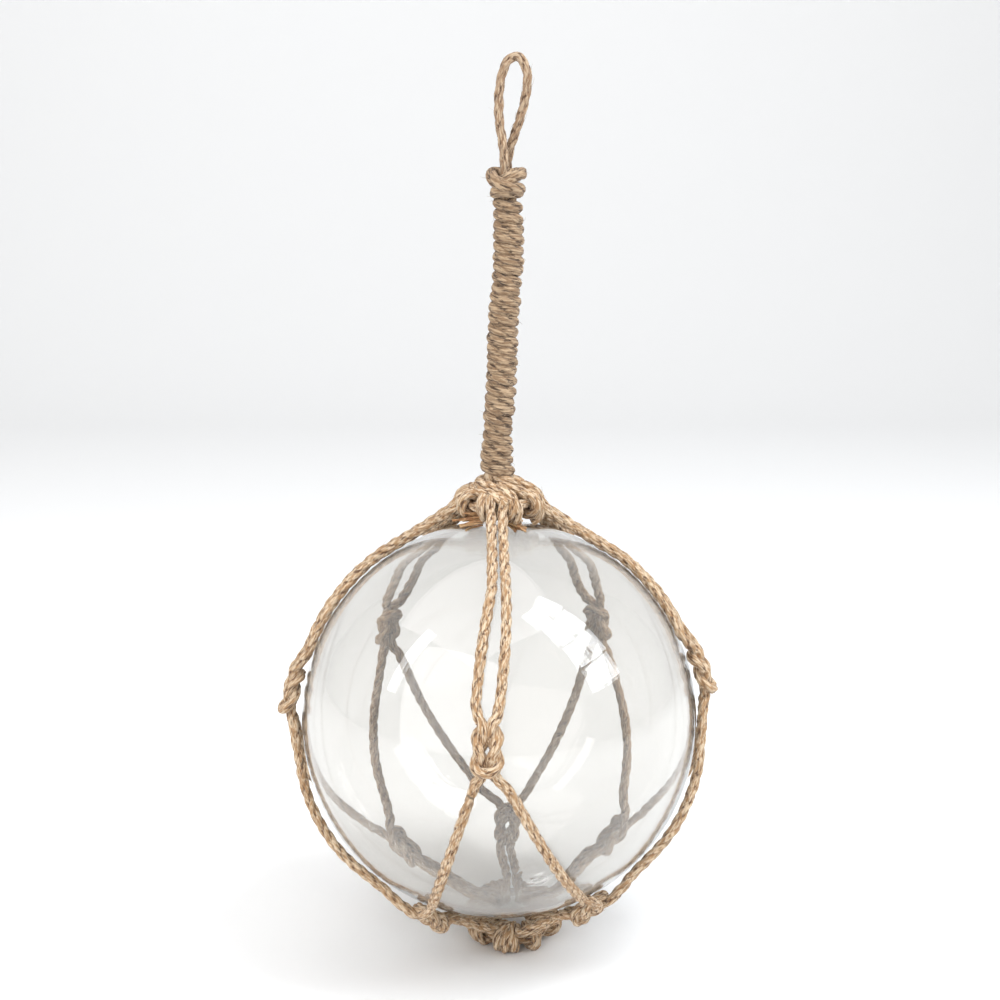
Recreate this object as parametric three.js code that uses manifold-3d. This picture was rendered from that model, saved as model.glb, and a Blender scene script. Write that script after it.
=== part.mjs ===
// Clear glass float in a hand-tied rope net, with a whipped rope handle and a hanging loop.
// Millimetres, +Z up. The origin is on the table, under the middle of the object's outline. The
// ball stands on the rope ring that gathers the net below it, a little off that middle, because
// the knots of the net are unevenly spread. Azimuths about the ball are in degrees from the front
// (-Y), positive towards +X. Polar angles are measured from straight up.

import * as THREE from 'three';
import { mergeVertices } from 'three/addons/utils/BufferGeometryUtils.js';
import Module from 'manifold-3d';

// The glass
const GLASS_RADIUS = 100;
const BALL_HEIGHT = 120;
const BALL_ASIDE = 1;
const BALL_BACK = 6.5;
const GLASS_SEGMENTS = 26;
const SEAL_RADIUS = 13;
const SEAL_RISE = 1.2;
const SEAL_BROW = { radius: 0.7 * SEAL_RADIUS, rise: 0.5 * SEAL_RISE };

// The rope of the net
const CORD_RADIUS = 2.4;
const CORD_SIDES = 6;
const CLEARANCE = 0.3;
const STRAND_GAP = 0.8;
const GLASS_GAP = 0.5;
const BESIDE = CORD_RADIUS + 0.5 * STRAND_GAP;
const ON_GLASS = GLASS_RADIUS + CORD_RADIUS + GLASS_GAP;
const KNOT_SWELL = 5.2;
const KNOT_ON_GLASS = GLASS_RADIUS + KNOT_SWELL + CORD_RADIUS + CLEARANCE;
const KNOT_STATIONS = 10;
const UPPER_KNOT_LENGTH = 23;
const LOWER_KNOT_LENGTH = 21;

// The two rope rings that the net runs between
const RING_ROPE_RADIUS = 2.5;
const RING_SIDES = 6;
const RING_SEGMENTS = 20;
const HITCH_SLACK = 0.8;
const RING_TURN = RING_ROPE_RADIUS + CORD_RADIUS + HITCH_SLACK;
const TOP_RING_RADIUS = 15.5;
const TOP_RING_HEIGHT = 112;
const FOOT_RING_RADIUS = 14;
const FOOT_SHIFT = 7.5;
const FOOT_PRESS = 1.5;
const FOOT_RING_HEIGHT = RING_TURN + CORD_RADIUS - FOOT_PRESS - BALL_HEIGHT;
const TOP_RING = { radius: TOP_RING_RADIUS, height: TOP_RING_HEIGHT, shift: 0 };
const FOOT_RING = { radius: FOOT_RING_RADIUS, height: FOOT_RING_HEIGHT, shift: FOOT_SHIFT };

// A hitch is a cord's turn about a ring, in degrees round the ring's rope, from straight out
// over the top. Each leg of the top hitch moves aside as it turns, then rises into the bight,
// whose places are the degrees aside of the hitch, the reach out from the ring and the rise.
const TOP_HITCH = { from: -5, sweep: 290, stations: 8, aside: 8, widening: 13 };
const BIGHT_RISE = [[21, 9.6, -1.8], [9, 13.4, 2.8]];
const BIGHT_CROWN = [0, 13.8, 3.6];
const FOOT_HITCH = { from: 75, sweep: 285, stations: 9 };

// The five doubled cords. Each pair leaves the top ring at its hitch, lies over the shoulder of
// the ball, bowing a little apart, and is tied in a knot near the widest part of the glass.
const PAIRS = [
  { hitch: -3, shoulder: 0, azimuth: -3, polar: 79.5, bow: 3 },
  { hitch: 84, shoulder: 97, azimuth: 84, polar: 75, bow: 0.8 },
  { hitch: 148, shoulder: 146, azimuth: 147, polar: 76, bow: 2.6 },
  { hitch: 212, shoulder: 215, azimuth: 218, polar: 76, bow: 3 },
  { hitch: 276, shoulder: 262, azimuth: 275, polar: 81, bow: 0.8 },
];

// The five knots below, each joining one leg of a pair to a leg of the next pair
const LOWER_KNOTS = [
  { azimuth: 47, polar: 143 },
  { azimuth: 116, polar: 138 },
  { azimuth: 176, polar: 143 },
  { azimuth: 239, polar: 144 },
  { azimuth: 321, polar: 148 },
];
const SHOULDER_POLAR = 36;
const SHOULDER_STATIONS = 4;
const SHOULDER_BESIDE = BESIDE + 0.4;
const KNOT_LEAD = 10;
const LEG_PLACES = [0.24, 0.42, 0.6, 0.78];
const LEG_LIFT = 1.4;
const FOOT_LEAD = 15;
const FOOT_APPROACH = [9.5, 6.2];
const FOOT_HITCH_STEP = 360 / LOWER_KNOTS.length;

// The whipped handle and its loop, heights measured from the middle of the ball
const WHIPPING_FROM = 124.6;
const WHIPPING_TO = 261.5;
const KNOT_TO = 274;
const WHIPPING_TURNS = 27;
const WHIPPING_CREST = 7.25;
const WHIPPING_GROOVE = 6.4;
const BASE_CREST = 9.6;
const BASE_TURNS = 3;
const TOP_KNOT_CREST = 8.9;
const TOP_KNOT_TURNS = 2;
const HANDLE_SEGMENTS = 8;
const HANDLE_SWAY = [[124, -1.2], [150, -0.8], [176, 1.8], [201, 1.6], [232, 5.2], [258, 4], [275, 3.8]];
const EYE_AZIMUTHS = [-43, 116];
const EYE_REACH = 7;
const EYE_UPRIGHT = 0.45;
const EYE_LEAN = 0.75;
const LOOP_ROPE_RADIUS = 2.3;

// A loop's route is its sideways place, its depth and its height, from one leg round to the other
const LOOP_ROUTE = [
  [2.6, -2.6, 274.8], [2.2, -2.6, 283], [0.2, -1.6, 296], [0.1, -0.5, 309], [1.3, 0, 317], [3.9, 0, 323.4],
  [7.8, 0, 326.2], [11.6, 0, 323.2], [13.4, 0, 317], [12.9, 0.5, 309], [9.6, 1.6, 296], [5.2, 2.6, 283],
  [4, 2.6, 274.8],
];

const GLASS = new THREE.MeshStandardMaterial({ color: 0xe4ebe8, roughness: 0.04, metalness: 0 });
const JUTE = new THREE.MeshStandardMaterial({ color: 0xd8b888, roughness: 0.9, metalness: 0 });
const WHIPPING_JUTE = new THREE.MeshStandardMaterial({ color: 0xb59d7c, roughness: 0.92, metalness: 0 });

const SAME_POINT = 1e-4;

const wasm = await Module();
wasm.setup();

const float = new THREE.Group();
const ballFrame = new THREE.Group();
ballFrame.position.set(BALL_ASIDE, BALL_BACK, BALL_HEIGHT);
float.add(ballFrame);

function addPiece(name, geometry, material) {
  const piece = new THREE.Mesh(geometry, material);
  piece.name = name;
  ballFrame.add(piece);
}

// A rope's run is a smooth curve through its points, eased over a rope's width because rope
// turns no sharp corner, and cut into stations that lie close together only where it bends.
class RopeRun extends THREE.Curve {
  static SAMPLE = 0.5;
  static EASE = 5;
  static LONGEST = 16;
  static TURN = THREE.MathUtils.degToRad(33);

  constructor(points) {
    super();
    const smooth = new THREE.CatmullRomCurve3(points, false, 'centripetal');
    const samples = RopeRun.eased(smooth.getSpacedPoints(Math.round(smooth.getLength() / RopeRun.SAMPLE)));
    const last = samples.length - 1;
    this.stations = [];
    this.headings = [];
    let turned = 0;
    let run = 0;
    for (let i = 0; i <= last; i++) {
      const before = samples[Math.max(i, 1)].clone().sub(samples[Math.max(i - 1, 0)]);
      const after = samples[Math.min(i + 1, last)].clone().sub(samples[Math.min(i, last - 1)]);
      turned += before.angleTo(after);
      run += before.length();
      if (i === 0 || i === last || turned > RopeRun.TURN || run > RopeRun.LONGEST) {
        this.stations.push(samples[i]);
        this.headings.push(before.add(after).normalize());
        turned = 0;
        run = 0;
      }
    }
  }

  static eased(samples) {
    const last = samples.length - 1;
    return samples.map((sample, i) => {
      const reach = Math.min(RopeRun.EASE, i, last - i);
      const mean = new THREE.Vector3();
      for (let j = i - reach; j <= i + reach; j++) {
        mean.addScaledVector(samples[j], 1 / (2 * reach + 1));
      }
      return mean;
    });
  }

  get steps() {
    return this.stations.length - 1;
  }

  getPointAt(u) {
    return this.stations[Math.round(u * this.steps)].clone();
  }

  getTangentAt(u) {
    return this.headings[Math.round(u * this.steps)].clone();
  }
}

function roundSection(radius, sides) {
  const corners = [];
  for (let i = 0; i < sides; i++) {
    const angle = (2 * Math.PI * i) / sides;
    corners.push(new THREE.Vector2(radius * Math.cos(angle), radius * Math.sin(angle)));
  }
  return new THREE.Shape(corners);
}

function ropeGeometry(points, radius) {
  const run = new RopeRun(points);
  return new THREE.ExtrudeGeometry(roundSection(radius, CORD_SIDES), {
    steps: run.steps,
    bevelEnabled: false,
    extrudePath: run,
  });
}

// A direction on the ball, and the frame of a place on it: across to the right as seen
// from outside, down towards the foot, and out from the glass.
function direction(azimuth, polar) {
  const a = THREE.MathUtils.degToRad(azimuth);
  const p = THREE.MathUtils.degToRad(polar);
  return new THREE.Vector3(Math.sin(p) * Math.sin(a), -Math.sin(p) * Math.cos(a), Math.cos(p));
}

function glassFrame(azimuth, polar, radius) {
  const out = direction(azimuth, polar);
  const across = direction(azimuth + 90, 90);
  const down = direction(azimuth, polar + 90);
  const origin = out.clone().multiplyScalar(radius);
  return { origin, across, down, out };
}

function placed(frame, across, down, out) {
  return frame.origin.clone()
    .addScaledVector(frame.across, across)
    .addScaledVector(frame.down, down)
    .addScaledVector(frame.out, out);
}

// One strand of a two-strand knot: each strand takes a full turn about the other, and the
// two open out round each other in the middle of the knot into a lump of slanting bands.
function knotStrand(place, side, length) {
  const frame = glassFrame(place.azimuth, place.polar, KNOT_ON_GLASS);
  const points = [];
  for (let i = 1; i < KNOT_STATIONS; i++) {
    const along = i / KNOT_STATIONS;
    const angle = 2 * Math.PI * THREE.MathUtils.smoothstep(along, 0, 1);
    const swell = Math.sin(Math.PI * along);
    const radius = THREE.MathUtils.lerp(BESIDE, KNOT_SWELL, swell);
    const depth = (swell - 1) * (KNOT_SWELL - BESIDE);
    const across = side * radius * Math.cos(angle);
    const down = length * (along - 0.5);
    const out = side * radius * Math.sin(angle) + depth;
    points.push(placed(frame, across, down, out));
  }
  return points;
}

// The stretch of a pair's leg from the ring, over the shoulder of the ball, to its knot
function shoulder(pair, side) {
  const points = [];
  for (let i = 0; i <= SHOULDER_STATIONS; i++) {
    const along = i / SHOULDER_STATIONS;
    const polar = THREE.MathUtils.lerp(SHOULDER_POLAR, pair.polar - KNOT_LEAD, along);
    const azimuth = THREE.MathUtils.lerp(pair.shoulder, pair.azimuth, along);
    const aside = SHOULDER_BESIDE + pair.bow * Math.sin(Math.PI * along);
    points.push(placed(glassFrame(azimuth, polar, ON_GLASS), side * aside, 0, 0));
  }
  return points;
}

// The leg from an upper knot to a lower knot, slack enough to stand off the glass
function spreadLeg(pair, knot) {
  const from = direction(pair.azimuth, pair.polar);
  const to = direction(knot.azimuth, knot.polar);
  const axis = from.clone().cross(to).normalize();
  const sweep = from.angleTo(to);
  const points = [];
  for (const along of LEG_PLACES) {
    const radius = ON_GLASS + LEG_LIFT * Math.sin(Math.PI * along);
    points.push(from.clone().applyAxisAngle(axis, sweep * along).multiplyScalar(radius));
  }
  return points;
}

// A place beside a rope ring, in the upright plane through the ring's axis at an azimuth
function besideRing(ring, azimuth, outward, rise) {
  return new THREE.Vector3(ring.shift, 0, ring.height + rise)
    .addScaledVector(direction(azimuth, 90), outward);
}

// The leg's turn over the top ring: up its outside, over, down its inside and out below,
// moving aside as it goes, until it meets the bight that crosses in front of the legs.
function topHitch(azimuth, side) {
  const points = [];
  for (let i = 0; i <= TOP_HITCH.stations; i++) {
    const along = i / TOP_HITCH.stations;
    const angle = THREE.MathUtils.degToRad(TOP_HITCH.from + TOP_HITCH.sweep * along);
    const outward = TOP_RING.radius + RING_TURN * Math.cos(angle);
    const aside = side * (TOP_HITCH.aside + TOP_HITCH.widening * along);
    points.push(besideRing(TOP_RING, azimuth + aside, outward, RING_TURN * Math.sin(angle)));
  }
  for (const [aside, reach, rise] of BIGHT_RISE) {
    points.push(besideRing(TOP_RING, azimuth + side * aside, TOP_RING.radius + reach, rise));
  }
  return points;
}

// A leg's turn about the foot ring: over it, down its inside, under and up its outside
function footHitch(azimuth, side) {
  const points = [];
  const inPlane = Math.sqrt(FOOT_RING.radius ** 2 - BESIDE ** 2);
  const aside = direction(azimuth + 90, 90).multiplyScalar(side * BESIDE);
  for (let i = 0; i <= FOOT_HITCH.stations; i++) {
    const angle = THREE.MathUtils.degToRad(FOOT_HITCH.from + (FOOT_HITCH.sweep * i) / FOOT_HITCH.stations);
    const outward = inPlane + RING_TURN * Math.cos(angle);
    points.push(besideRing(FOOT_RING, azimuth, outward, RING_TURN * Math.sin(angle)).add(aside));
  }
  return points;
}

// The run from a lower knot in under the ball to the foot ring
function footLeg(knot, hitch, side) {
  const aside = direction(hitch + 90, 90).multiplyScalar(side * BESIDE);
  const frame = glassFrame(knot.azimuth, knot.polar, KNOT_ON_GLASS);
  const knotEnd = placed(frame, side * BESIDE, FOOT_LEAD, BESIDE - KNOT_SWELL);
  const [reach, rise] = FOOT_APPROACH;
  const atRing = besideRing(FOOT_RING, hitch, FOOT_RING.radius + reach, rise).add(aside);
  return [knotEnd, knotEnd.clone().lerp(atRing, 0.5), atRing];
}

// One leg of a doubled cord, from the middle of its bight to its tucked end
function legRoute(index, side) {
  const pair = PAIRS[index];
  const next = side > 0 ? index : (index + PAIRS.length - 1) % PAIRS.length;
  const knot = LOWER_KNOTS[next];
  const footAzimuth = FOOT_HITCH_STEP * (next + 0.5);
  return [
    ...topHitch(pair.hitch, side).reverse(),
    ...shoulder(pair, side),
    ...knotStrand(pair, side, UPPER_KNOT_LENGTH),
    ...spreadLeg(pair, knot),
    ...knotStrand(knot, -side, LOWER_KNOT_LENGTH),
    ...footLeg(knot, footAzimuth, -side),
    ...footHitch(footAzimuth, -side),
  ];
}

// The rope is pressed flat where the weight of the ball rests it on the table
function pressFlat(geometry, floor) {
  const positions = geometry.getAttribute('position');
  for (let i = 0; i < positions.count; i++) {
    positions.setZ(i, Math.max(positions.getZ(i), floor));
  }
  return geometry;
}

function netCord(index) {
  const [aside, reach, rise] = BIGHT_CROWN;
  const bight = besideRing(TOP_RING, PAIRS[index].hitch + aside, TOP_RING.radius + reach, rise);
  const route = [...legRoute(index, -1).reverse(), bight, ...legRoute(index, 1)];
  return pressFlat(ropeGeometry(route, CORD_RADIUS), -BALL_HEIGHT);
}

function glassBall() {
  const profile = [new THREE.Vector2(0, -GLASS_RADIUS - SEAL_RISE)];
  profile.push(new THREE.Vector2(SEAL_BROW.radius, -GLASS_RADIUS - SEAL_BROW.rise));
  const steps = GLASS_SEGMENTS / 2;
  const first = Math.asin(SEAL_RADIUS / GLASS_RADIUS);
  for (let i = 0; i < steps; i++) {
    const angle = first + ((Math.PI - first) * i) / steps;
    profile.push(new THREE.Vector2(GLASS_RADIUS * Math.sin(angle), -GLASS_RADIUS * Math.cos(angle)));
  }
  profile.push(new THREE.Vector2(0, GLASS_RADIUS));
  return new THREE.LatheGeometry(profile, GLASS_SEGMENTS).rotateX(Math.PI / 2);
}

function ringGeometry(ring) {
  return new THREE.TorusGeometry(ring.radius, RING_ROPE_RADIUS, RING_SIDES, RING_SEGMENTS)
    .translate(ring.shift, 0, ring.height);
}

function toSolid(geometry) {
  const bare = geometry.clone();
  bare.deleteAttribute('normal');
  bare.deleteAttribute('uv');
  const merged = mergeVertices(bare, SAME_POINT);
  const mesh = new wasm.Mesh({
    numProp: 3,
    vertProperties: new Float32Array(merged.getAttribute('position').array),
    triVerts: new Uint32Array(merged.getIndex().array),
  });
  return new wasm.Manifold(mesh);
}

function fromSolid(solid) {
  const mesh = solid.getMesh();
  const geometry = new THREE.BufferGeometry();
  geometry.setAttribute('position', new THREE.BufferAttribute(mesh.vertProperties, mesh.numProp));
  geometry.setIndex(new THREE.BufferAttribute(mesh.triVerts, 1));
  geometry.computeVertexNormals();
  return geometry;
}

// The ring on top is the eye of the handle's rope, so two legs rise from it into the whipping
function topRing() {
  let solid = toSolid(ringGeometry(TOP_RING));
  const rise = WHIPPING_FROM - CLEARANCE - TOP_RING.height;
  for (const azimuth of EYE_AZIMUTHS) {
    const route = [
      besideRing(TOP_RING, azimuth, TOP_RING.radius, 0),
      besideRing(TOP_RING, azimuth, TOP_RING.radius, EYE_UPRIGHT * rise),
      besideRing(TOP_RING, azimuth, 0.5 * (TOP_RING.radius + EYE_REACH), EYE_LEAN * rise),
      besideRing(TOP_RING, azimuth, EYE_REACH, rise - CORD_RADIUS),
    ];
    solid = solid.add(toSolid(ropeGeometry(route, CORD_RADIUS)));
  }
  return fromSolid(solid);
}

// The whipping is turned as a scalloped rod, then swayed sideways along its height
function wrappedHandle() {
  const profile = [new THREE.Vector2(0, WHIPPING_FROM)];
  const pitch = (WHIPPING_TO - WHIPPING_FROM) / WHIPPING_TURNS;
  for (let i = 0; i < WHIPPING_TURNS; i++) {
    const flare = Math.max(0, 1 - i / BASE_TURNS) * (BASE_CREST - WHIPPING_CREST);
    const bottom = WHIPPING_FROM + i * pitch;
    profile.push(new THREE.Vector2(WHIPPING_GROOVE + flare, bottom));
    profile.push(new THREE.Vector2(WHIPPING_CREST + flare, bottom + 0.5 * pitch));
  }
  const knotPitch = (KNOT_TO - WHIPPING_TO) / TOP_KNOT_TURNS;
  for (let i = 0; i < TOP_KNOT_TURNS; i++) {
    const bottom = WHIPPING_TO + i * knotPitch;
    profile.push(new THREE.Vector2(WHIPPING_GROOVE, bottom));
    profile.push(new THREE.Vector2(TOP_KNOT_CREST, bottom + 0.5 * knotPitch));
  }
  profile.push(new THREE.Vector2(WHIPPING_GROOVE, KNOT_TO));
  profile.push(new THREE.Vector2(0, KNOT_TO));
  const rod = new THREE.LatheGeometry(profile, HANDLE_SEGMENTS).rotateX(Math.PI / 2);
  const sway = new THREE.SplineCurve(HANDLE_SWAY.map(([height, side]) => new THREE.Vector2(height, side)));
  const positions = rod.getAttribute('position');
  const first = HANDLE_SWAY[0][0];
  const last = HANDLE_SWAY[HANDLE_SWAY.length - 1][0];
  for (let i = 0; i < positions.count; i++) {
    const along = THREE.MathUtils.clamp((positions.getZ(i) - first) / (last - first), 0, 1);
    positions.setX(i, positions.getX(i) + sway.getPoint(along).y);
  }
  return rod;
}

function hangingLoop() {
  const points = LOOP_ROUTE.map((place) => new THREE.Vector3(...place));
  return ropeGeometry(points, LOOP_ROPE_RADIUS);
}

addPiece('glass_ball', glassBall(), GLASS);
addPiece('top_ring', topRing(), JUTE);
addPiece('foot_ring', ringGeometry(FOOT_RING), JUTE);
PAIRS.forEach((pair, index) => addPiece(`net_cord_${index + 1}`, netCord(index), JUTE));
addPiece('wrapped_handle', wrappedHandle(), WHIPPING_JUTE);
addPiece('hanging_loop', hangingLoop(), JUTE);

export default float;
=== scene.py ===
import math

import bpy
import numpy as np
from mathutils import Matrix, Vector


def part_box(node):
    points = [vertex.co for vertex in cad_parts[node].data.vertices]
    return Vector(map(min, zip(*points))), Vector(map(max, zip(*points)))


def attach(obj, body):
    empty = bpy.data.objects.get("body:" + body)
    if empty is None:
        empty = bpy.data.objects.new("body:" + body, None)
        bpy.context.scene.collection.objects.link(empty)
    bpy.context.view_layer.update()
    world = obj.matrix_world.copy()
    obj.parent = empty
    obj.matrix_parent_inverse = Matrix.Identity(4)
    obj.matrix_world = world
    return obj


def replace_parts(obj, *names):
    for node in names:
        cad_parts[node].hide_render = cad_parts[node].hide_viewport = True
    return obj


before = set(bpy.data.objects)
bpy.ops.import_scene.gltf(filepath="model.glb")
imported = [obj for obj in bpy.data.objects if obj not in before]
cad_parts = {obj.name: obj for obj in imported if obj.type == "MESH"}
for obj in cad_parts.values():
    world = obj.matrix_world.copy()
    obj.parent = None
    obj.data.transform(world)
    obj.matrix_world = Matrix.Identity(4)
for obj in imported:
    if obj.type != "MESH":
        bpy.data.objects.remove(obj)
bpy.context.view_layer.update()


# Glass ball
# A clear, hollow ball of hand-blown glass with walls of about 3 mm, thicker below, where a blob
# of hot glass was pressed on to seal the blowing hole. It stands loose inside the rope net.
MM = 0.001
GLASS_RADIUS = 100
WALL = 2.6
FLOOR_WALL = 1.4
FLOOR_SPREAD = 0.32
SEAL_AZIMUTH, SEAL_POLAR = 125, 166
SEAL_WIDTH = 11
SEAL_RISE = 0.9
SEAL_OUTSIDE, SEAL_INSIDE = 0.4, 1.6
SWIRL_DEPTH, SWIRL_PITCH, SWIRL_ARMS = 0.35, 1.1, 2
SKIN_IN = 0.3
OUTER_RIPPLE, OUTER_SWELL, INNER_RIPPLE = 0.22, 0.12, 0.3
GLASS_RINGS, GLASS_SEGMENTS = 120, 180
GLASS_TINT = (0.88, 0.87, 0.85, 1)
GLASS_CLEAR = 0.95
GLASS_IOR = 1.45

low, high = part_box("glass_ball")
ball_middle = np.array([(low.x + high.x) / 2, (low.y + high.y) / 2, high.z - GLASS_RADIUS * MM])


def direction(azimuth, polar):
    """A direction from the ball's middle, in degrees round from the front and down from the top."""
    a, p = np.radians(azimuth), np.radians(polar)
    return np.stack([np.sin(p) * np.sin(a), -np.sin(p) * np.cos(a), np.cos(p) + 0 * a], axis=-1)


def add_piece(name, points, faces, finish):
    """A mesh piece from points in millimetres about the ball's middle, riding on the one body."""
    mesh = bpy.data.meshes.new(name)
    mesh.from_pydata((ball_middle + np.asarray(points) * MM).tolist(), [], faces)
    mesh.polygons.foreach_set("use_smooth", [True] * len(mesh.polygons))
    mesh.materials.append(finish)
    mesh.update()
    piece = bpy.data.objects.new(name, mesh)
    bpy.context.collection.objects.link(piece)
    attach(piece, "root")
    return piece


class Socket:
    """One output of a shader node, so that shader maths reads as plain expressions."""

    def __init__(self, finish, output):
        self.finish = finish
        self.output = output

    def maths(self, operation, first, second):
        return self.finish.node("ShaderNodeMath", {"operation": operation}, {0: first, 1: second})

    def __add__(self, other):
        return self.maths("ADD", self, other)

    def __radd__(self, other):
        return self.maths("ADD", other, self)

    def __sub__(self, other):
        return self.maths("SUBTRACT", self, other)

    def __rsub__(self, other):
        return self.maths("SUBTRACT", other, self)

    def __mul__(self, other):
        return self.maths("MULTIPLY", self, other)

    def __rmul__(self, other):
        return self.maths("MULTIPLY", other, self)


class Finish:
    """A material with one surface shader, whose nodes are added by type, settings and sockets."""

    def __init__(self, name, **plain):
        self.material = bpy.data.materials.new(name)
        self.material.use_nodes = True
        self.tree = self.material.node_tree
        self.shader = self.tree.nodes["Principled BSDF"]
        for socket, value in plain.items():
            self.shader.inputs[socket.replace("_", " ")].default_value = value

    def node(self, kind, settings, sockets, output=0):
        node = self.tree.nodes.new(kind)
        for name, value in settings.items():
            setattr(node, name, value)
        for name, value in sockets.items():
            self.feed(node.inputs[name], value)
        return Socket(self, node.outputs[output])

    def feed(self, entry, value):
        if isinstance(value, Socket):
            self.tree.links.new(value.output, entry)
        else:
            entry.default_value = value

    def mix(self, share, first, second):
        sockets = {0: share, 6: first, 7: second}
        return self.node("ShaderNodeMix", {"data_type": "RGBA"}, sockets, output=2)

    def noise(self, place, scale, detail):
        return self.node("ShaderNodeTexNoise", {}, {"Vector": place, "Scale": scale, "Detail": detail})

    def between(self, value, start, end):
        """How far a value has come from start to end, from 0 to 1."""
        sockets = {"Value": value, "From Min": start, "From Max": end}
        return self.node("ShaderNodeMapRange", {"interpolation_type": "SMOOTHSTEP"}, sockets)


def glass_skin(radius_at, outward):
    """A closed skin of the ball, as points and faces, from its radius at each direction."""
    polar = np.linspace(0, 180, GLASS_RINGS + 1)
    azimuth = np.linspace(0, 360, GLASS_SEGMENTS, endpoint=False)
    around, down = np.meshgrid(azimuth, polar[1:-1])
    way = direction(around, down)
    skin = way * radius_at(way)[..., None]
    poles = np.array([[0.0, 0, 1], [0.0, 0, -1]])
    points = np.vstack([skin.reshape(-1, 3), poles * radius_at(poles)[:, None]])
    top, bottom = len(points) - 2, len(points) - 1
    faces = []
    for ring in range(GLASS_RINGS - 2):
        for i in range(GLASS_SEGMENTS):
            j = (i + 1) % GLASS_SEGMENTS
            a, b = ring * GLASS_SEGMENTS, (ring + 1) * GLASS_SEGMENTS
            faces.append((a + i, b + i, b + j, a + j))
    last = (GLASS_RINGS - 2) * GLASS_SEGMENTS
    for i in range(GLASS_SEGMENTS):
        j = (i + 1) % GLASS_SEGMENTS
        faces.append((top, i, j))
        faces.append((bottom, last + j, last + i))
    return points, faces if outward else [face[::-1] for face in faces]


def seal_swell(way):
    """The blob that seals the ball: a low round button with a swirl left by the tool."""
    seal = direction(SEAL_AZIMUTH, SEAL_POLAR)
    across = np.linalg.norm(way - seal, axis=-1) * GLASS_RADIUS
    turn = np.arctan2(way[..., 0] - seal[0], way[..., 1] - seal[1])
    swirl = SWIRL_DEPTH * np.sin(SWIRL_PITCH * across + SWIRL_ARMS * turn)
    return SEAL_RISE * (1 + swirl) * np.exp(-((across / SEAL_WIDTH) ** 4))


def outer_radius(way):
    """The outside of the ball, a little uneven as it was blown."""
    x, y, z = way[..., 0], way[..., 1], way[..., 2]
    ripple = OUTER_RIPPLE * np.sin(3.1 * x + 1.7 * z) * np.sin(2.3 * y + 0.6)
    swell = OUTER_SWELL * np.sin(5 * z + 3 * y)
    return GLASS_RADIUS - SKIN_IN + (ripple + swell) + SEAL_OUTSIDE * seal_swell(way)


def inner_radius(way):
    """The inside of the ball, with more glass pooled at the bottom and behind the seal."""
    x, y, z = way[..., 0], way[..., 1], way[..., 2]
    ripple = INNER_RIPPLE * np.sin(4 * x - 2.6 * z + 1) * np.sin(3.4 * y + 2 * z)
    pooled = FLOOR_WALL * np.exp(-((np.arccos(np.clip(-z, -1, 1)) / FLOOR_SPREAD) ** 2))
    return GLASS_RADIUS - WALL - pooled + ripple - SEAL_INSIDE * seal_swell(way)


clear_glass = Finish(
    "clear_glass", Base_Color=GLASS_TINT, Roughness=0.0, IOR=GLASS_IOR, Transmission_Weight=GLASS_CLEAR
)
outside, outside_faces = glass_skin(outer_radius, True)
inside, inside_faces = glass_skin(inner_radius, False)
inside_faces = [tuple(i + len(outside) for i in face) for face in inside_faces]
glass_ball = add_piece(
    "glass_ball_shell",
    np.vstack([outside, inside]),
    outside_faces + inside_faces,
    clear_glass.material,
)
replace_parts(glass_ball, "glass_ball")


# Top ring
# The lower eye of the handle's jute rope, a ring round the ball's crown. The rope's legs come down
# from the whipping in broad bands, tucked under the ring, and the cut ends lie frayed on the glass.
RING_ROPE_RADIUS = 2.5
ROPE_LAY = 23
ROPE_SIDES = 30
ROPE_STEP = 0.8
STRAND_OFFSET = 0.36
FIBRE_JITTER = 0.03
LAY_WANDER = 0.02
UNEVEN, UNEVEN_EVERY = 0.035, 9
EASE_REACH = 3
FIBRE_STARTS = 500
STRAY_SHARE = 0.3
STRAY_RADIUS = 0.11
STRAY_BENDS = (0, 0.35, 0.7, 1)
STRAY_LENGTHS = (1.5, 4.5)
STRAY_LIFTS = (0.1, 0.5)
STRAY_SWAY = 0.4
TOP_RING_RADIUS = 15.5
TOP_RING_HEIGHT = 112
TOP_RING_WAVE = 0.8
BAND_RADIUS = 2.7
BANDS = (
    [(-7, 6, 122), (-9.5, -2, 122), (-5, -9, 121.5), (0.5, -13.5, 120.5), (6, -17.5, 118),
     (9.3, -19.8, 112), (8.6, -17, 105.5)],
    [(-13, 2, 119), (-11.5, -6, 119), (-6.5, -12.5, 118.8), (-1, -17, 117.6), (4.5, -19.8, 114.6)],
    [(-2, -4, 124.5), (4, -6, 123.6), (10, -4.5, 122), (15.5, -2.5, 119), (19.8, -0.5, 114),
     (20.5, 1, 107), (18.5, 1, 102.5)],
    [(0, -9, 121.8), (6, -10, 120.4), (12, -9, 118), (17, -7.5, 114.4), (20, -6.5, 109),
     (18.8, -5.5, 104.5), (16.5, -5, 102.5)],
    [(6, 6, 123), (0, 10, 121.5), (-7, 13, 119), (-12, 15, 114), (-12, 14, 106)],
    [(-4, 5, 122), (6, 12, 121), (11, 15, 118), (14, 15.5, 112), (13, 13, 105.5)],
)
HEART_RADIUS = 7.5
HEART_ASIDE = 0.6
HEART_HEIGHTS = (103.5, 127)
CUT_ENDS = (((-7, -12, 105.5), (-18, -11, 103.4)), ((4, -12, 104.5), (11.5, -15.5, 102.6)))
CUT_FIBRES = 20
CUT_RADIUS = 0.6
CUT_SPREAD = (1.0, 1.1, 1.3)
CUT_SPLAY, CUT_STRAY = 1.5, 0.5
CUT_LENGTHS = (0.7, 1.05)
RING_STATIONS = 48
chance = np.random.default_rng(7)


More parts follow.
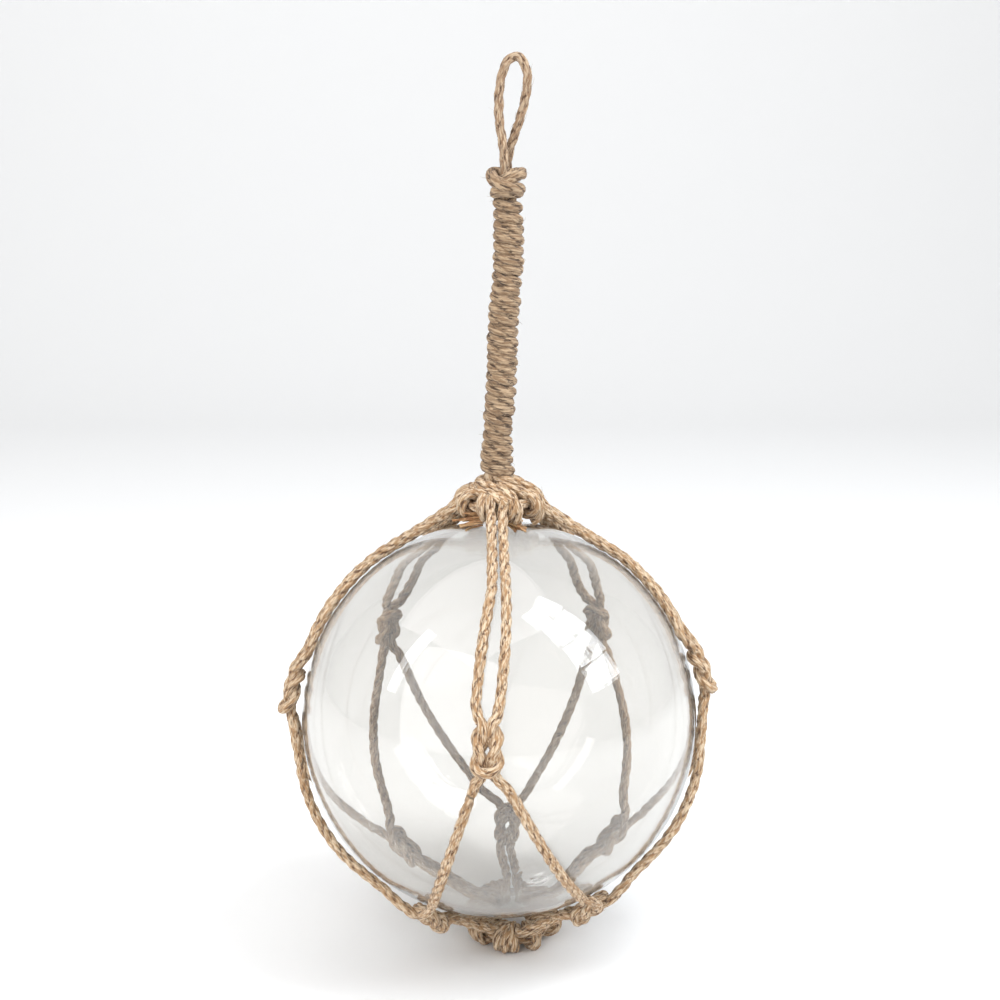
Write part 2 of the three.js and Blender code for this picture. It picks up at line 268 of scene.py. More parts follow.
def jute(name, pale, tan, painted_groove_shade, speck_brown):
    """Jute rope: pale fibres along the rope, tan drifts and dark flecks of bark, with painted shade in the
    grooves between strands, where the flecks are also painted thicker.
    """
    finish = Finish(name, Roughness=0.88, Sheen_Weight=0.12, Sheen_Roughness=0.5)
    run = finish.node("ShaderNodeAttribute", {"attribute_name": "fibre"}, {}, output=1)
    groove = finish.node("ShaderNodeAttribute", {"attribute_name": "groove"}, {}, output=2)

    def stretched(along, across):
        factors = {0: run, 1: (along, across, across)}
        return finish.node("ShaderNodeVectorMath", {"operation": "MULTIPLY"}, factors)

    fibres = finish.noise(stretched(0.25, 1.2), 1, 3)
    fine = finish.noise(stretched(0.3, 3.2), 1, 2)
    drift = finish.noise(stretched(0.07, 0.3), 1, 2)
    fleck = finish.noise(stretched(0.3, 1.2), 1, 2)
    colour = finish.mix(finish.between(fibres, 0.42, 0.58), tan, pale)
    colour = finish.mix(0.5 * finish.between(drift, 0.45, 0.75), colour, tan)
    # Painted shade: the grooves between the strands are darkened to a deep brown.
    colour = finish.mix(0.5 * finish.between(groove, 0.5, 1.0), colour, painted_groove_shade)
    # Bark flecks, weighted towards the grooves so that they also add painted shade there.
    flecks_and_groove_shade = finish.between(fleck, 0.53, 0.61) * (0.3 + 0.7 * finish.between(groove, 0.05, 0.5))
    colour = finish.mix(0.85 * flecks_and_groove_shade, colour, speck_brown)
    finish.feed(finish.shader.inputs["Base Color"], colour)
    height = fibres + 0.5 * fine - 0.6 * flecks_and_groove_shade
    relief = {"Strength": 0.9, "Distance": 0.0009, "Height": height}
    finish.feed(finish.shader.inputs["Normal"], finish.node("ShaderNodeBump", {}, relief))
    return finish.material


def curve_through(points, step):
    """Close, even places on a smooth curve through given points."""
    p = np.asarray(points, float)
    p = np.vstack([2 * p[0] - p[1], p, 2 * p[-1] - p[-2]])
    pieces = []
    for p0, p1, p2, p3 in zip(p[:-3], p[1:-2], p[2:-1], p[3:]):
        t1 = np.linalg.norm(p1 - p0) ** 0.5
        t2 = t1 + np.linalg.norm(p2 - p1) ** 0.5
        t3 = t2 + np.linalg.norm(p3 - p2) ** 0.5
        u = np.linspace(t1, t2, 24, endpoint=False)[:, None]
        a1 = (t1 - u) / t1 * p0 + u / t1 * p1
        a2 = (t2 - u) / (t2 - t1) * p1 + (u - t1) / (t2 - t1) * p2
        a3 = (t3 - u) / (t3 - t2) * p2 + (u - t2) / (t3 - t2) * p3
        b1 = (t2 - u) / t2 * a1 + u / t2 * a2
        b2 = (t3 - u) / (t3 - t1) * a2 + (u - t1) / (t3 - t1) * a3
        pieces.append((t2 - u) / (t2 - t1) * b1 + (u - t1) / (t2 - t1) * b2)
    return evenly(np.vstack([*pieces, p[-2:-1]]), step)


def evenly(points, step):
    """The same run with its places a step apart."""
    run = np.concatenate([[0], np.cumsum(np.linalg.norm(np.diff(points, axis=0), axis=1))])
    places = np.linspace(0, run[-1], max(int(round(run[-1] / step)), 2) + 1)
    return np.column_stack([np.interp(places, run, points[:, i]) for i in range(3)])


def eased(points, reach, closed):
    """The run with its corners rounded, as rope rounds them."""
    wide = np.pad(points, ((reach, reach), (0, 0)), mode="wrap" if closed else "edge")
    if not closed:
        wide[:reach] = 2 * points[0] - points[reach:0:-1]
        wide[-reach:] = 2 * points[-1] - points[-2:-reach - 2:-1]
    kernel = np.hanning(2 * reach + 3)[1:-1]
    kernel /= kernel.sum()
    return np.column_stack([np.convolve(wide[:, i], kernel, "valid") for i in range(3)])


def carried_frames(points, closed):
    """Headings along a run, with two crossways directions carried along without turning."""
    if closed:
        heading = np.roll(points, -1, axis=0) - np.roll(points, 1, axis=0)
    else:
        heading = np.gradient(points, axis=0)
    heading /= np.linalg.norm(heading, axis=1)[:, None]
    side = np.cross(heading[0], (0.3, 0.5, 0.81))
    sides = []
    for way in heading:
        side = side - way * (side @ way)
        side = side / np.linalg.norm(side)
        sides.append(side)
    sides = np.array(sides)
    return sides, np.cross(heading, sides)


def laid_rope(name, route, radius, finish, closed=False, offset=STRAND_OFFSET):
    """A three-strand rope along a route, laid to the right, and pressed flat where it meets the table."""
    points = eased(evenly(np.asarray(route), ROPE_STEP), EASE_REACH, closed)
    if closed:
        points = points[:-1]
    side, other = carried_frames(points, closed)
    count = len(points)
    run = np.arange(count) * ROPE_STEP
    wander = np.cumsum(chance.normal(0, LAY_WANDER, count))
    turn = 2 * math.pi * run / ROPE_LAY + wander - np.linspace(0, wander[-1], count)
    if closed:
        first, last = side[0], side[-1]
        slip = math.atan2(last @ other[0], last @ first)
        third = 2 * math.pi / 3
        whole = round((turn[-1] + slip) / third) * third
        turn = turn + np.linspace(0, whole - turn[-1] - slip, count)
    known = run[::UNEVEN_EVERY]
    thick = 1 + UNEVEN * np.interp(run, known, chance.normal(0, 1, len(known)))
    angle = np.linspace(0, 2 * math.pi, ROPE_SIDES, endpoint=False)
    strand = 1 - offset
    lobe = (angle[None, :] - turn[:, None]) * 3
    off = (np.mod(lobe + math.pi, 2 * math.pi) - math.pi) / 3
    reach = offset * np.cos(off) + np.sqrt(strand ** 2 - (offset * np.sin(off)) ** 2)
    shallow = offset * 0.5 + math.sqrt(strand ** 2 - 0.75 * offset ** 2)
    # How deep each point lies in the groove between strands; the jute finish darkens it as painted shade.
    groove = (1 - reach) / (1 - shallow)
    reach = reach * radius * thick[:, None] * (1 + chance.normal(0, FIBRE_JITTER, reach.shape))
    cross_x, cross_y = reach * np.cos(angle), reach * np.sin(angle)
    skin = points[:, None] + cross_x[..., None] * side[:, None] + cross_y[..., None] * other[:, None]
    vertices = skin.reshape(-1, 3)
    i, j = np.meshgrid(np.arange(count if closed else count - 1), np.arange(ROPE_SIDES), indexing="ij")
    ahead, beside = (i + 1) % count, (j + 1) % ROPE_SIDES
    here, there = i * ROPE_SIDES, ahead * ROPE_SIDES
    corners = (here + j, here + beside, there + beside, there + j)
    faces = np.stack(corners, axis=-1).reshape(-1, 4).tolist()
    if not closed:
        faces.append(list(range(ROPE_SIDES))[::-1])
        faces.append(list(range((count - 1) * ROPE_SIDES, count * ROPE_SIDES)))
    along = np.repeat(run + FIBRE_STARTS * chance.random(), ROPE_SIDES)
    fibre = np.column_stack([along, cross_x.ravel(), cross_y.ravel()])
    strays, stray_faces = stray_fibres(skin, points, len(vertices))
    vertices = np.vstack([vertices, strays])
    vertices[:, 2] = np.maximum(vertices[:, 2], -ball_middle[2] / MM)
    piece = add_piece(name, vertices, faces + stray_faces, finish)
    put_attribute(piece, "fibre", "FLOAT_VECTOR", "vector", np.vstack([fibre, strays]))
    put_attribute(piece, "groove", "FLOAT", "value", np.append(groove, np.zeros(len(strays))))
    return piece


def stray_fibres(skin, middle, first):
    """Loose fibres that stand off a rope: thin three-sided hairs, leaning along it."""
    number = int(len(middle) * STRAY_SHARE)
    place = chance.integers(0, len(middle) - 4, number)
    root = skin[place, chance.integers(0, ROPE_SIDES, number)]
    out = root - middle[place]
    out /= np.linalg.norm(out, axis=1)[:, None]
    along = (middle[place + 3] - middle[place]) * chance.choice([-1, 1], number)[:, None]
    along /= np.linalg.norm(along, axis=1)[:, None]
    across = np.cross(along, out)
    length = chance.uniform(*STRAY_LENGTHS, number)[:, None]
    lift = chance.uniform(*STRAY_LIFTS, number)[:, None]
    sway = chance.normal(0, STRAY_SWAY, number)[:, None]
    corners = []
    for bend in STRAY_BENDS:
        spot = root + length * bend * (along + (1 - 0.5 * bend) * lift * out + bend * sway * across)
        thin = STRAY_RADIUS * (1 - 0.7 * bend)
        for angle in np.radians((0, 120, 240)):
            corners.append(spot + thin * (math.cos(angle) * out + math.sin(angle) * across))
    ends = len(STRAY_BENDS) - 1
    step, corner, hair = np.meshgrid(np.arange(ends), np.arange(3), np.arange(number), indexing="ij")
    after = (corner + 1) % 3
    rows = [3 * step + corner, 3 * step + after, 3 * step + 3 + after, 3 * step + 3 + corner]
    faces = np.stack([first + row * number + hair for row in rows], axis=-1).reshape(-1, 4).tolist()
    return np.vstack(corners), faces


def put_attribute(piece, name, kind, field, values):
    """Values at a piece's points, which its material reads by name."""
    values = np.asarray(values, np.float32).ravel()
    piece.data.attributes.new(name, kind, "POINT").data.foreach_set(field, values)


def joined(pieces):
    """Several meshes as one piece, named as the first."""
    with bpy.context.temp_override(active_object=pieces[0], selected_editable_objects=pieces):
        bpy.ops.object.join()
    return pieces[0]


def beside_ring(ring, azimuth, outward, rise):
    """A place beside a ring of rope, in the upright plane through its axis at an azimuth."""
    height, shift, lean = ring
    lifted = height + rise + lean * 0.5 * (1 - math.cos(math.radians(azimuth)))
    return np.array([shift, 0, lifted]) + outward * direction(azimuth, 90)


net_jute = jute(
    "net_jute",
    pale=(0.70, 0.55, 0.385, 1),
    tan=(0.40, 0.235, 0.115, 1),
    painted_groove_shade=(0.20, 0.09, 0.035, 1),
    speck_brown=(0.09, 0.035, 0.013, 1),
)
cut_jute = jute(
    "cut_jute",
    pale=(0.62, 0.40, 0.20, 1),
    tan=(0.42, 0.20, 0.08, 1),
    painted_groove_shade=(0.26, 0.10, 0.035, 1),
    speck_brown=(0.16, 0.06, 0.02, 1),
)
TOP_RING = (TOP_RING_HEIGHT, 0, 0)
ring_route = [
    beside_ring(TOP_RING, azimuth, TOP_RING_RADIUS, TOP_RING_WAVE * math.sin(math.radians(2 * azimuth)))
    for azimuth in np.linspace(0, 360, RING_STATIONS + 1)
]
ring_ropes = [laid_rope("top_ring_rope", ring_route, RING_ROPE_RADIUS, net_jute, closed=True)]
for band in BANDS:
    band_route = curve_through(band, ROPE_STEP)
    ring_ropes.append(laid_rope("band", band_route, BAND_RADIUS, net_jute))
heart = [(HEART_ASIDE * math.sin(z), HEART_ASIDE * math.cos(z), z) for z in np.linspace(*HEART_HEIGHTS, 12)]
ring_ropes.append(laid_rope("heart", heart, HEART_RADIUS, net_jute))
for root, tip in CUT_ENDS:
    root, tip = np.array(root), np.array(tip)
    for _ in range(CUT_FIBRES):
        spot = chance.normal(0, 1, 3) * CUT_SPREAD
        splay = spot * CUT_SPLAY + chance.normal(0, CUT_STRAY, 3)
        shorter = chance.uniform(*CUT_LENGTHS)
        halfway = root + spot + 0.5 * shorter * (tip - root)
        route = [root + spot, halfway, root + splay + shorter * (tip - root)]
        route = curve_through(route, ROPE_STEP)
        ring_ropes.append(laid_rope("cut_end", route, CUT_RADIUS, cut_jute))
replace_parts(joined(ring_ropes), "top_ring")


# Foot ring
# Two turns of the same rope in a hoop that gathers the net under the ball. The ball stands on the
# hitches that are tied round it, so it lies just above the table, a little right of the middle.
FOOT_RING_RADIUS = 14
FOOT_RING_HEIGHT = -113.4
FOOT_SHIFT = 7.5
FOOT_LEAN = 6
FOOT_WIDEN, FOOT_SINK = 3.4, 1.4
FOOT_RING = (FOOT_RING_HEIGHT, FOOT_SHIFT, FOOT_LEAN)
foot_route = [
    beside_ring(FOOT_RING, 180 + 720 * share, FOOT_RING_RADIUS + FOOT_WIDEN * share, -FOOT_SINK * share)
    for share in np.linspace(0, 1, 2 * RING_STATIONS + 1)
]
foot_ring = laid_rope("foot_ring_rope", foot_route, RING_ROPE_RADIUS, net_jute)
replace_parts(foot_ring, "foot_ring")


# Net cords
# Doubled cords of three-strand jute, hitched on the top ring and the foot ring, and one cord that
# zigzags between them. Where they meet, two bights are locked together and pulled tight.
CORD_RADIUS = 2.6
BESIDE = 2.9
ON_GLASS = GLASS_RADIUS + CORD_RADIUS + 0.1
PAIRS = (
    {"hitch": -3, "shoulder": 0, "azimuth": -3, "polar": 79.5, "bow": 0.8, "wave": 0},
    {"hitch": 84, "shoulder": 97, "azimuth": 84, "polar": 75, "bow": 0.8, "wave": 0.6},
    {"hitch": 148, "shoulder": 146, "azimuth": 147, "polar": 76, "bow": 1.8, "wave": 1.4},
    {"hitch": 212, "shoulder": 215, "azimuth": 218, "polar": 76, "bow": 1.6, "wave": -2},
    {"hitch": 276, "shoulder": 262, "azimuth": 275, "polar": 81, "bow": 0.8, "wave": -0.6},
)
LOWER_KNOTS = (
    {"azimuth": 47, "polar": 143},
    {"azimuth": 116, "polar": 138},
    {"azimuth": 176, "polar": 143},
    {"azimuth": 239, "polar": 144},
    {"azimuth": 321, "polar": 148},
)
SHOULDER_POLAR = 36
KNOT_REACH = 22
LEG_LIFT = 1.4
HITCH_TURN = RING_ROPE_RADIUS + CORD_RADIUS + 0.1
HITCH_FROM, HITCH_OVER = -5, 525
HITCH_ASIDE, HITCH_DRIFT = 8, 20
FOOT_DRIFT = 13
FOOT_HITCHES = (16, 104, 180, 250, 322)
FOOT_NEAR_OUT, FOOT_NEAR_UP = 9.5, 6.2
FOOT_TURN_FROM, FOOT_TURN_PAST = 75, 105
BELOW_KNOT, OFF_GLASS = 20, 1.5
FRONT_BIGHT = [(4.5, -14, 9), (7, 0, 1), (9, 10, 5), (7, 15, 10), (0, 17, 11)]
BACK_BIGHT = [(3.5, 14, 2), (6, 0, 10), (8, -10, 7), (6, -15, 3), (0, -17, 2.6)]
KNOT_NODES = 96
KNOT_ROUNDS = 320
KNOT_PULL = 0.7
KNOT_PUSH = 0.75
KNOT_NEIGHBOURS = 9
KNOT_SHRINK = 0.45
KNOT_BEND = 0.22
KNOT_SQUEEZE = 0.78
KNOT_NARROW, KNOT_TALL = 0.9, 1.5
KNOT_PINCH, PINCH_REACH = 1.85, 2.5
KNOT_HALF = 12
SPREAD = 2.2


def glass_frame(azimuth, polar):
    """A place on the glass, with its directions across, down towards the foot, and out."""
    out = direction(azimuth, polar)
    return out * GLASS_RADIUS, np.stack([direction(azimuth + 90, 90), direction(azimuth, polar + 90), out])


def draw_tight(strands):
    """Pull a knot tight: its strands shorten while they, and the glass below, hold each other off."""
    counts = [len(strand) for strand in strands]
    places = np.vstack(strands)
    owner = np.repeat(np.arange(len(strands)), counts)
    order = np.concatenate([np.arange(count) for count in counts])
    one, two = np.triu_indices(len(places), 1)
    apart = (owner[one] != owner[two]) | (order[two] - order[one] > KNOT_NEIGHBOURS)
    one, two = one[apart], two[apart]
    free = np.ones((len(places), 1))
    free[(order < 2) | (order > np.repeat(counts, counts) - 3)] = 0
    link = np.flatnonzero(owner[:-1] == owner[1:])
    middle = link[1:][np.diff(link) == 1]
    slack = np.linalg.norm(places[link + 1] - places[link], axis=1)
    thickness = 2 * CORD_RADIUS * KNOT_SQUEEZE
    under = np.array([0, 0, -GLASS_RADIUS])
    for turn in range(KNOT_ROUNDS):
        length = slack * (1 - (1 - KNOT_SHRINK) * min(1, turn / (KNOT_PULL * KNOT_ROUNDS)))
        for start in (0, 1, 0, 1, 0, 1):
            i, want = link[start::2], length[start::2]
            gap = places[i + 1] - places[i]
            now = np.linalg.norm(gap, axis=1)
            move = (0.5 * (now - want) / now)[:, None] * gap
            places[i] += move * free[i]
            places[i + 1] -= move * free[i + 1]
        straight = 0.5 * (places[middle - 1] + places[middle + 1]) - places[middle]
        places[middle] += KNOT_BEND * free[middle] * straight
        for _ in range(2):
            gap = places[one] - places[two]
            distance = np.einsum("ij,ij->i", gap, gap)
            touch = distance < thickness ** 2
            a, b = one[touch], two[touch]
            distance = np.sqrt(distance[touch])
            push = (KNOT_PUSH * (thickness - distance) / distance)[:, None] * gap[touch]
            total = np.zeros_like(places)
            for axis in range(3):
                total[:, axis] = np.bincount(a, push[:, axis], len(places))
                total[:, axis] -= np.bincount(b, push[:, axis], len(places))
            touches = np.bincount(a, minlength=len(places)) + np.bincount(b, minlength=len(places))
            places += free * total / np.maximum(touches, 1)[:, None]
        out = places - under
        distance = np.linalg.norm(out, axis=1)[:, None]
        places += free * out / distance * np.maximum(GLASS_RADIUS + CORD_RADIUS - distance, 0)
    return np.split(places, np.cumsum(counts)[:-1])


def mesh_knot(place, above, below):
    """Two locked bights: one hangs from the two places above, the other comes up from those below."""
    origin, axes = glass_frame(place["azimuth"], place["polar"])
    strands = []
    for ends, half in ((above, FRONT_BIGHT), (below, BACK_BIGHT)):
        left, right = (axes @ (end - origin) for end in ends)
        near = [(-u, v, w) for u, v, w in half[:-1]]
        route = [left, *near, *half[::-1], right]
        strands.append(curve_through(route, 0.5))
    spread = [strand[np.linspace(0, len(strand) - 1, KNOT_NODES).astype(int)] for strand in strands]
    tied = []
    for strand in draw_tight(spread):
        inside = np.exp(-((strand[:, 1:2] / KNOT_HALF) ** 4))
        across, down = strand[:, :1], strand[:, 1:2]
        pinched = KNOT_NARROW * across - KNOT_PINCH * np.tanh(across / PINCH_REACH)
        strand[:, :1] = across + inside * (pinched - across)
        strand[:, 1:2] = down * (1 + (KNOT_TALL - 1) * inside)
        tied.append(origin + strand @ axes)
    return tied


def shoulder(pair, side):
    """The stretch of a leg from the ring, over the shoulder of the ball, to just above its knot."""
    last = pair["polar"] - math.degrees(KNOT_REACH / ON_GLASS)
    points = []
    for along in np.linspace(0, 1, 9):
        wave = pair["wave"] * math.sin(3 * math.pi * along) * (1 - along)
        azimuth = pair["shoulder"] + along * (pair["azimuth"] - pair["shoulder"]) + wave
        polar = SHOULDER_POLAR + along * (last - SHOULDER_POLAR)
        aside = BESIDE + 0.4 + SPREAD * along + pair["bow"] * math.sin(math.pi * along)
        points.append(direction(azimuth, polar) * ON_GLASS + side * aside * direction(azimuth + 90, 90))
    return points


def two_turns(pair, side):
    """From the leg's end inside the ring, two turns round the ring to where it hangs down outside."""
    points = []
    for along in np.linspace(1, 0, 17):
        angle = math.radians(HITCH_FROM + HITCH_OVER * along)
        outward = TOP_RING_RADIUS + HITCH_TURN * math.cos(angle)
        azimuth = pair["hitch"] + side * (HITCH_ASIDE + HITCH_DRIFT * along)
        points.append(beside_ring(TOP_RING, azimuth, outward, HITCH_TURN * math.sin(angle)))
    return points


def leg_between(start, end, share):
    """A place on the way from one knot to another round the ball, standing off it a little."""
    one, two = direction(**start), direction(**end)
    sweep = math.acos(one @ two)
    way = (math.sin((1 - share) * sweep) * one + math.sin(share * sweep) * two) / math.sin(sweep)
    return way * (ON_GLASS + LEG_LIFT * math.sin(math.pi * share)), KNOT_REACH / (sweep * ON_GLASS)


def foot_leg(index, side):
    """From just below a lower knot, in under the ball and round the foot ring, once at the front."""
    origin, axes = glass_frame(**LOWER_KNOTS[index])
    knot_end = origin + np.array([side * BESIDE, BELOW_KNOT, OFF_GLASS]) @ axes
    azimuth = FOOT_HITCHES[index]
    aside = side * BESIDE * direction(azimuth + 90, 90)
    at_ring = beside_ring(FOOT_RING, azimuth, FOOT_RING_RADIUS + FOOT_NEAR_OUT, FOOT_NEAR_UP) + aside
    points = [knot_end, 0.5 * (knot_end + at_ring), at_ring]
    in_plane = math.sqrt(FOOT_RING_RADIUS ** 2 - BESIDE ** 2) + 0.5 * FOOT_WIDEN
    turns = 2 if index else 1
    for share in np.linspace(0, 1, 10 * turns + 6):
        angle = math.radians(FOOT_TURN_FROM + share * (360 * turns + FOOT_TURN_PAST))
        outward = in_plane + (HITCH_TURN + 0.5 * FOOT_WIDEN) * math.cos(angle)
        around = azimuth + side * FOOT_DRIFT * turns * share
        points.append(beside_ring(FOOT_RING, around, outward, HITCH_TURN * math.sin(angle)) + aside)
    return points


def place_of(knot):
    """Where a knot is, without the rest of what is known of its pair."""
    return {"azimuth": knot["azimuth"], "polar": knot["polar"]}


def legs_of(upper, lower):
    """Where a zigzag leg leaves its upper knot, two places along it, and where it meets the lower."""
    start, end = place_of(PAIRS[upper]), place_of(LOWER_KNOTS[lower])
    _, share = leg_between(start, end, 0.5)
    return [leg_between(start, end, s)[0] for s in (share, 0.4, 0.6, 1 - share)]


KNOTS = len(PAIRS)
upper_knots, lower_knots = [], []
for index, pair in enumerate(PAIRS):
    above = [shoulder(pair, side)[-1] for side in (-1, 1)]
    below = [legs_of(index, (index - 1) % KNOTS)[0], legs_of(index, index)[0]]
    upper_knots.append(mesh_knot(place_of(pair), above, below))
for index, knot in enumerate(LOWER_KNOTS):
    above = [legs_of(index, index)[-1], legs_of((index + 1) % KNOTS, index)[-1]]
    below = [foot_leg(index, side)[0] for side in (-1, 1)]
    lower_knots.append(mesh_knot(knot, above, below))

for index, pair in enumerate(PAIRS):
    left = curve_through(two_turns(pair, -1) + shoulder(pair, -1), ROPE_STEP)
    right = curve_through(two_turns(pair, 1) + shoulder(pair, 1), ROPE_STEP)
    loop = np.vstack([left, upper_knots[index][0], right[::-1]])
    cord = laid_rope(f"net_cord_{index + 1}_rope", loop, CORD_RADIUS, net_jute)
    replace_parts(cord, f"net_cord_{index + 1}")

zigzag = []
for index in range(KNOTS):
    after = (index + 1) % KNOTS
    zigzag.append(upper_knots[index][1])
    zigzag.append(curve_through(legs_of(index, index), ROPE_STEP)[1:-1])
    zigzag.append(lower_knots[index][0])
    zigzag.append(curve_through(legs_of(after, index)[::-1], ROPE_STEP)[1:-1])
zigzag = np.vstack([*zigzag, zigzag[0][:1]])
zigzag_cord = laid_rope("net_zigzag_rope", zigzag, CORD_RADIUS, net_jute, closed=True)
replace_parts(zigzag_cord, "net_cord_1")

for index in range(KNOTS):
    left = curve_through(foot_leg(index, -1), ROPE_STEP)
    right = curve_through(foot_leg(index, 1), ROPE_STEP)
    tail = np.vstack([left[::-1], lower_knots[index][1][1:-1], right])
    cord = laid_rope(f"foot_cord_{index + 1}_rope", tail, CORD_RADIUS, net_jute)
    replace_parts(cord, f"net_cord_{index + 1}")


# Wrapped handle
# One jute cord wound tightly round the doubled rope that rises from the top ring, twenty-seven
# turns from a flared base up to the half hitch that closes it below the loop.
WHIPPING_FROM, WHIPPING_TO = 124.6, 261.5
KNOT_TO = 274
WHIPPING_TURNS = 27
WHIPPING_CREST = 7.7
WHIP_CORD = 2.95
BASE_CREST = 9.6
BASE_TURNS = 3
WHIP_OFFSET = 0.26
WHIPPING_START = 140
TURN_UNEVEN, TURN_BULGE = 0.45, 0.3
HANDLE_CORE_RADIUS = 4.4
KNOT_CORD = 3
CLOSING_KNOT = (
    [(-1, 3, 262.5), (-1.5, -3, 263), (3, -5.4, 263.4), (8.5, -2.5, 263.4), (9, 3, 263), (4, 5.6, 263)],
    [(9, 3.5, 264), (9.8, -2.5, 264.6), (7, -6.6, 265), (2, -7.8, 266.4), (-2.4, -5.2, 269),
     (-3.6, -0.5, 271.2), (-1.6, 4, 272), (3.5, 5.5, 271.5)],
    [(0, -3.5, 267), (3.4, -6.2, 269), (7.4, -5.6, 270.6), (10.4, -2.2, 271.6), (10.2, 2.4, 271.8),
     (6, 5.6, 271), (0, 5, 269)],
)
HANDLE_SWAY = ((124, -1.2), (150, -0.8), (176, 1.8), (201, 1.6), (232, 5.2), (258, 4), (275, 3.8))
SWAY_STATIONS, SWAY_EASE = 80, 8
TURN_STATIONS = 24
whipping_jute = jute(
    "whipping_jute",
    pale=(0.47, 0.335, 0.21, 1),
    tan=(0.25, 0.155, 0.085, 1),
    painted_groove_shade=(0.08, 0.04, 0.018, 1),
    speck_brown=(0.04, 0.018, 0.008, 1),
)
sway_heights, sway_sides = np.array(HANDLE_SWAY).T


def handle_middle(height):
    """How far the handle's middle stands to the right at a height."""
    smooth = np.linspace(sway_heights[0], sway_heights[-1], SWAY_STATIONS)
    sides = np.interp(smooth, sway_heights, sway_sides)
    window = 2 * SWAY_EASE + 1
    sides = np.convolve(np.pad(sides, SWAY_EASE, mode="edge"), np.ones(window) / window, "valid")
    return np.interp(height, smooth, sides)


def wound(turns, bottom, top, crest_at, start_azimuth):
    """A cord wound round the handle from its top turn down, sinking to the right at the front."""
    share = np.linspace(0, 1, int(turns * TURN_STATIONS) + 1)
    number = share * turns
    uneven = np.interp(number, np.arange(turns + 1), chance.normal(0, TURN_UNEVEN, turns + 1))
    height = top + (bottom - top) * share + uneven * (share > 0) * (share < 1)
    bulge = np.interp(number, np.arange(turns + 1), chance.normal(0, TURN_BULGE, turns + 1))
    reach = crest_at(height) - WHIP_CORD + bulge
    azimuth = start_azimuth + 360 * number
    spots = reach[:, None] * direction(azimuth, 90 + 0 * azimuth)
    return spots + np.column_stack([handle_middle(height), 0 * height, height])


def whipping_crest(height):
    """How far the turns stand out at a height, wider over the first few at the base."""
    flare = np.clip(1 - (height - WHIPPING_FROM) / (BASE_TURNS * 5), 0, 1)
    return WHIPPING_CREST + flare * (BASE_CREST - WHIPPING_CREST)


half_pitch = 0.5 * (WHIPPING_TO - WHIPPING_FROM) / WHIPPING_TURNS
lowest_turn, highest_turn = WHIPPING_FROM + half_pitch, WHIPPING_TO - half_pitch
winding = wound(WHIPPING_TURNS, lowest_turn, highest_turn, whipping_crest, WHIPPING_START)
handle_parts = [
    laid_rope("wrapped_handle_cord", winding, WHIP_CORD, whipping_jute, offset=WHIP_OFFSET)
]
for route in CLOSING_KNOT:
    route = curve_through(route, ROPE_STEP)
    hitch = laid_rope("closing_knot", route, KNOT_CORD, whipping_jute, offset=WHIP_OFFSET)
    handle_parts.append(hitch)
core = [(handle_middle(z), 0, z) for z in np.linspace(WHIPPING_FROM, KNOT_TO, 60)]
handle_parts.append(laid_rope("handle_core", core, HANDLE_CORE_RADIUS, whipping_jute))
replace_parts(joined(handle_parts), "wrapped_handle")


# Hanging loop
# The upper eye of the handle's rope: one cord that comes out of the closing knot, rounds over at
# the top and goes back in beside itself, standing by its own stiffness.
LOOP_ROPE_RADIUS = 2.3
LOOP_ROUTE = [
    (2.6, -2.6, 268), (2.6, -2.6, 274.8), (2.2, -2.6, 283), (0.2, -1.6, 296), (0.1, -0.5, 309),
    (1.3, 0, 317), (3.9, 0, 323.4), (7.8, 0, 326.2), (11.6, 0, 323.2), (13.4, 0, 317), (12.9, 0.5, 309),
    (9.6, 1.6, 296), (5.2, 2.6, 283), (4, 2.6, 274.8), (4, 2.6, 268),
]
loop_route = curve_through(LOOP_ROUTE, ROPE_STEP)
loop_jute = jute(
    "loop_jute",
    pale=(0.52, 0.385, 0.26, 1),
    tan=(0.30, 0.185, 0.105, 1),
    painted_groove_shade=(0.15, 0.07, 0.03, 1),
    speck_brown=(0.07, 0.028, 0.01, 1),
)
hanging_loop = laid_rope("hanging_loop_rope", loop_route, LOOP_ROPE_RADIUS, loop_jute)
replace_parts(hanging_loop, "hanging_loop")


# Floor, light and camera
# A white table that runs up into a white wall, lit by an even sky and large soft lights above and
# in front. The glass mirrors a narrow strip light on the left and a window of panes on the right.
FLOOR_HALF = 3
FLOOR_BACK = 1.6
FLOOR_CURVE = 0.8
FLOOR_WALL_TOP = 4
FLOOR_WHITE = (0.9, 0.9, 0.9, 1)
CAMERA_PLACE = (0.5, -870.9, 299.9)
CAMERA_PITCH = 12.14
CAMERA_LENS = 64.8
SENSOR = 36
WINDOW_WAY = (0.63, -0.223, 0.744)
WINDOW_AWAY = 1.6
PANE = (0.26, 0.34)
PANE_STEP = (0.3, 0.38)
PANE_POWER = 3
PANE_COLOUR = (0.92, 0.96, 1)
SKY_STRENGTH = 0.38
STREAK_WAY = (-0.743, -0.299, 0.599)

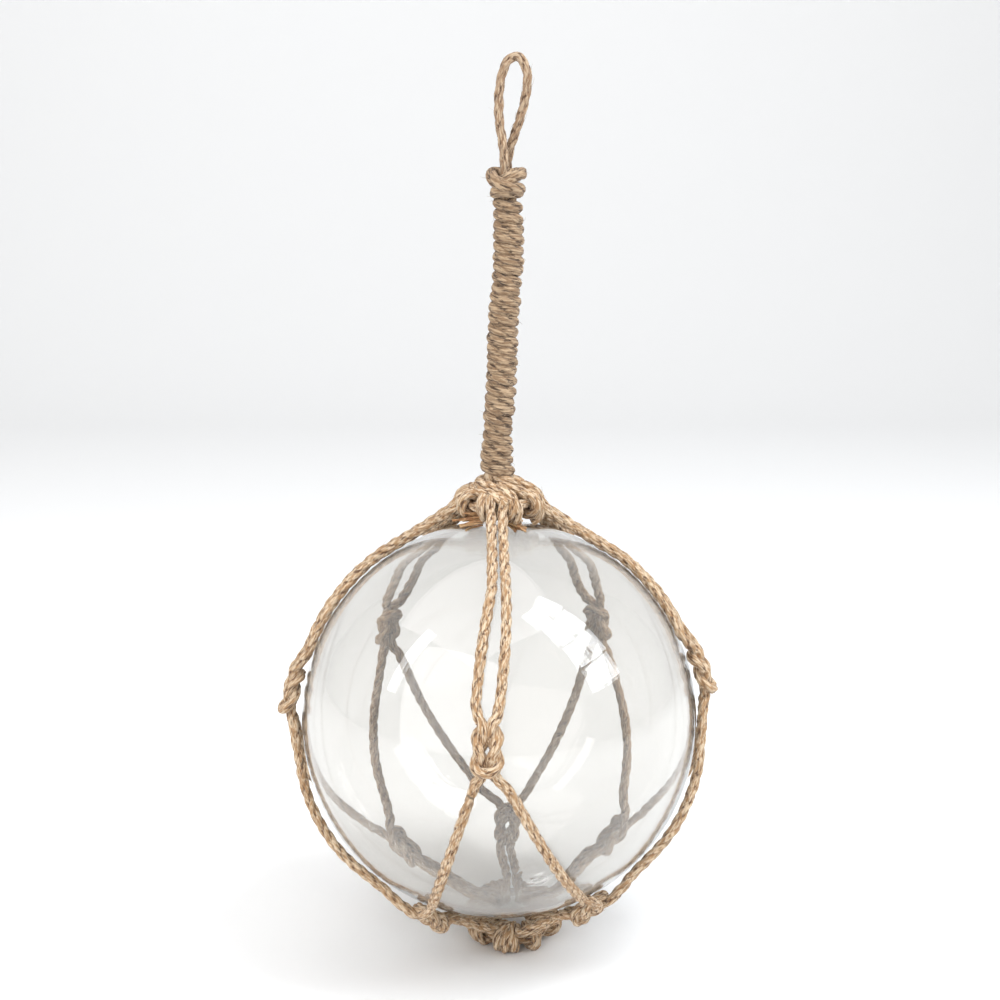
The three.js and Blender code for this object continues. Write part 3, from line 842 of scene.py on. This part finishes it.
profile = [(-FLOOR_HALF, 0), (FLOOR_BACK, 0)]
for angle in np.radians(np.linspace(0, 90, 16)):
    profile.append((FLOOR_BACK + FLOOR_CURVE * math.sin(angle), FLOOR_CURVE * (1 - math.cos(angle))))
profile.append((FLOOR_BACK + FLOOR_CURVE, FLOOR_WALL_TOP))
floor_points = [(x, y, z) for y, z in profile for x in (-FLOOR_HALF, FLOOR_HALF)]
floor_faces = [(2 * i, 2 * i + 1, 2 * i + 3, 2 * i + 2) for i in range(len(profile) - 1)]
floor_mesh = bpy.data.meshes.new("floor")
floor_mesh.from_pydata(floor_points, [], floor_faces)
floor_mesh.polygons.foreach_set("use_smooth", [True] * len(floor_mesh.polygons))
floor_mesh.materials.append(Finish("white_floor", Base_Color=FLOOR_WHITE, Roughness=0.9).material)
floor = bpy.data.objects.new("floor", floor_mesh)
bpy.context.collection.objects.link(floor)


def area_light(name, place, target, width, height, power, colour=(1, 1, 1)):
    """A flat soft light that faces its target."""
    light = bpy.data.lights.new(name, "AREA")
    light.shape = "RECTANGLE"
    light.size, light.size_y = width, height
    light.energy = power
    light.color = colour
    lamp = bpy.data.objects.new(name, light)
    lamp.location = place
    way = np.asarray(target) - np.asarray(place)
    lamp.rotation_euler = Vector(way).to_track_quat("-Z", "Y").to_euler()
    bpy.context.collection.objects.link(lamp)


area_light("overhead", (-0.3, -0.2, 2.2), target=(0, 0, 0.1), width=2.4, height=2.4, power=25)
area_light("front_fill", (-1.2, -2.0, 1.2), target=(0, 0, 0.15), width=2.6, height=2.6, power=46)
streak = Vector(ball_middle) + WINDOW_AWAY * Vector(STREAK_WAY)
area_light("left_strip", streak, target=ball_middle, width=0.12, height=1.0, power=3)
window_way = Vector(WINDOW_WAY).normalized()
window_side = window_way.cross((0, 0, 1)).normalized()
window_up = window_side.cross(window_way)
for column in range(2):
    for row in range(4):
        across = (column - 0.5) * PANE_STEP[0]
        up = (row - 1.5) * PANE_STEP[1]
        pane = Vector(ball_middle) + WINDOW_AWAY * window_way + across * window_side + up * window_up
        area_light(f"window_{column}_{row}", pane, ball_middle, *PANE, PANE_POWER, PANE_COLOUR)

world = bpy.data.worlds.new("sky")
world.use_nodes = True
sky = world.node_tree.nodes["Background"]
sky.inputs["Color"].default_value = (1, 1, 1, 1)
sky.inputs["Strength"].default_value = SKY_STRENGTH
bpy.context.scene.world = world
bpy.context.scene.view_settings.view_transform = "Standard"

lens = bpy.data.cameras.new("camera")
lens.sensor_width = SENSOR
lens.lens = CAMERA_LENS
camera = bpy.data.objects.new("camera", lens)
camera.location = ball_middle + np.array(CAMERA_PLACE) * MM
camera.rotation_euler = (math.radians(90 - CAMERA_PITCH), 0, 0)
bpy.context.collection.objects.link(camera)
bpy.context.scene.camera = camera
